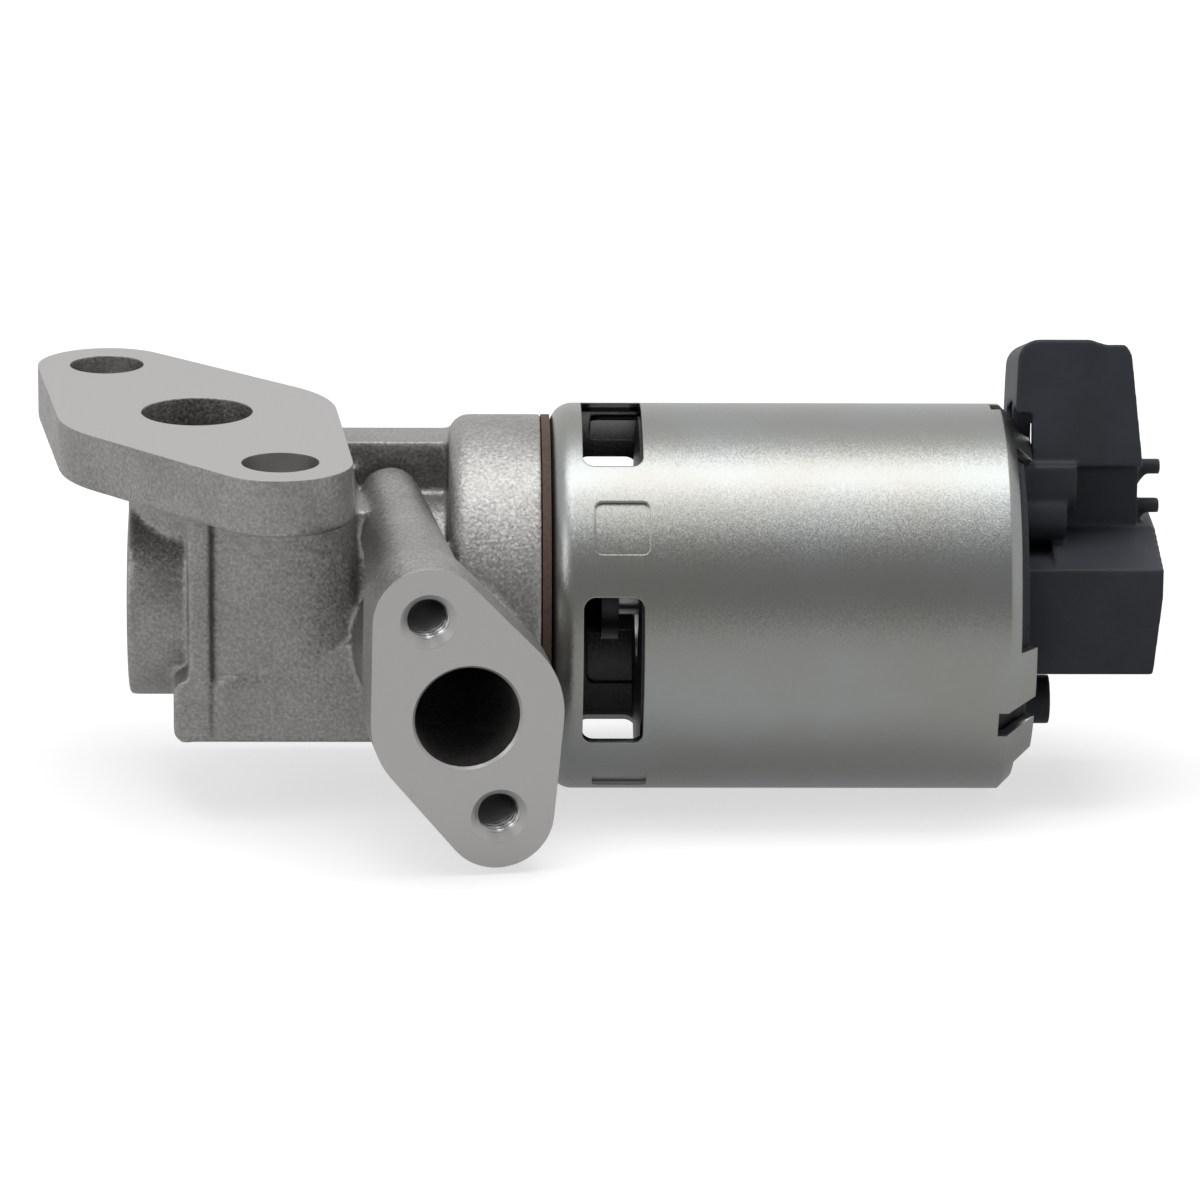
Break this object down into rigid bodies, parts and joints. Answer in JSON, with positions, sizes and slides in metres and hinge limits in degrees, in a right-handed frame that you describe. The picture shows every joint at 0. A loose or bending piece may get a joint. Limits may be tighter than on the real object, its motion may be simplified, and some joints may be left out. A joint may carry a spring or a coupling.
{
  "type": "egr valve",
  "caption": "Electric exhaust gas recirculation valve: cast body with two flanges, poppet on a solenoid in a crimped steel can, and a position sensor cap with a plug socket.",
  "frame": {"origin": "centre of the top port on the top flange's sealing face", "axes": "+Z out of the top flange's face, +X along the valve's axis from the body towards the connector"},
  "size_m": [0.1464, 0.0791, 0.0594],
  "materials": {
    "cast_aluminium": "shot-blasted die casting with machined faces",
    "zinc_plated_steel": "satin zinc plating on drawn steel",
    "black_plastic": "glass-filled moulding, matt",
    "gasket_fibre": "pressed fibre",
    "hard_steel": "turned and ground stainless steel",
    "bush_bronze": "sintered bronze",
    "magnet_iron": "turned soft iron",
    "spring_steel": "drawn wire",
    "copper_wire": "enamelled copper",
    "tinned_brass": "tinned",
    "seal_rubber": "moulded rubber",
    "sensor_plastic": "natural moulding",
    "track_ceramic": "printed ceramic strip"
  },
  "bodies": {
    "housing": {"valve_body": "cast_aluminium", "solenoid_can": "zinc_plated_steel", "end_plug": "zinc_plated_steel", "guide_cap": "zinc_plated_steel", "can_screws": "zinc_plated_steel", "sensor_cap": "black_plastic", "coil_bobbin": "black_plastic", "body_gasket": "gasket_fibre", "valve_seat": "hard_steel", "stem_shield": "hard_steel", "armature_sleeve": "hard_steel", "stem_guide": "bush_bronze", "pole_piece": "magnet_iron", "lower_pole_plate": "magnet_iron", "upper_pole_plate": "magnet_iron", "return_spring": "spring_steel", "plunger_spring": "spring_steel", "coil_winding": "copper_wire", "coil_pins": "tinned_brass", "connector_terminals": "tinned_brass", "cap_seal_ring": "seal_rubber", "sensor_track": "track_ceramic"},
    "poppet": {"valve_pintle": "hard_steel", "armature": "magnet_iron", "stem_nut": "spring_steel"},
    "sensor_slider": {"sensor_plunger": "sensor_plastic", "wiper_carrier": "sensor_plastic", "wiper_contacts": "tinned_brass"}
  },
  "joints": [
    {"name": "poppet_lift", "type": "slide", "parent": "housing", "child": "poppet", "axis": [1, 0, 0], "range_m": [0, 0.005], "stiffness_N_per_m": 3000, "springref_m": -0.005, "deforming": ["return_spring"]},
    {"name": "sensor_travel", "type": "slide", "parent": "housing", "child": "sensor_slider", "axis": [1, 0, 0], "range_m": [0, 0.005], "stiffness_N_per_m": 200, "springref_m": -0.005, "deforming": ["plunger_spring"]}
  ],
  "couplings": [
    {"joint": "sensor_travel", "follows": "poppet_lift", "ratio": 1}
  ]
}
